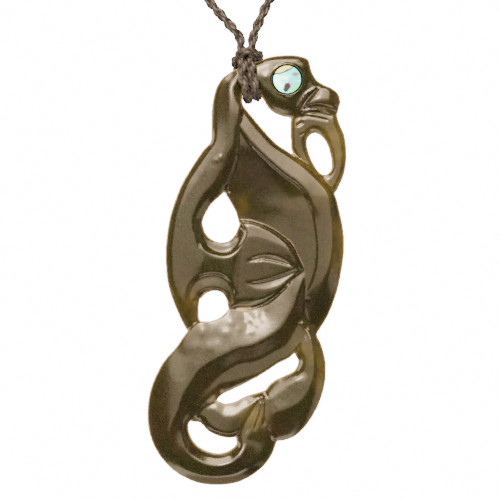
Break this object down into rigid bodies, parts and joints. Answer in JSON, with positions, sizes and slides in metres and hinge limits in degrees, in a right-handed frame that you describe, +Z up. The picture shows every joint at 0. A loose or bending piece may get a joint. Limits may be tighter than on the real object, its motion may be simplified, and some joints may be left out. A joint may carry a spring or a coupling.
{
  "type": "carved stone neck pendant on a cord",
  "caption": "Pierced greenstone manaia figure with a shell eye, hung from a looped waxed neck cord by a lark's head hitch, front carved in relief, back plain.",
  "frame": {"origin": "on the nape of the wearer's neck, at the inner face of the closing knot", "axes": "+Z up as worn, the carved front facing -Y, +X to the right as seen from the front"},
  "size_m": [0.1293, 0.1171, 0.2199],
  "materials": {
    "nephrite": "polished dark olive nephrite jade, cloudy, slightly see-through and yellow-green at its thin rims",
    "paua_shell": "polished iridescent shell, aqua to mint with cream and purple patches",
    "waxed_cord": "tightly twisted dark brown-black waxed cord, satin"
  },
  "bodies": {
    "root": {"jade_manaia": "nephrite", "paua_eye": "paua_shell", "cord_hitch": "waxed_cord", "neck_cord": "waxed_cord", "closing_knot": "waxed_cord"}
  },
  "joints": []
}
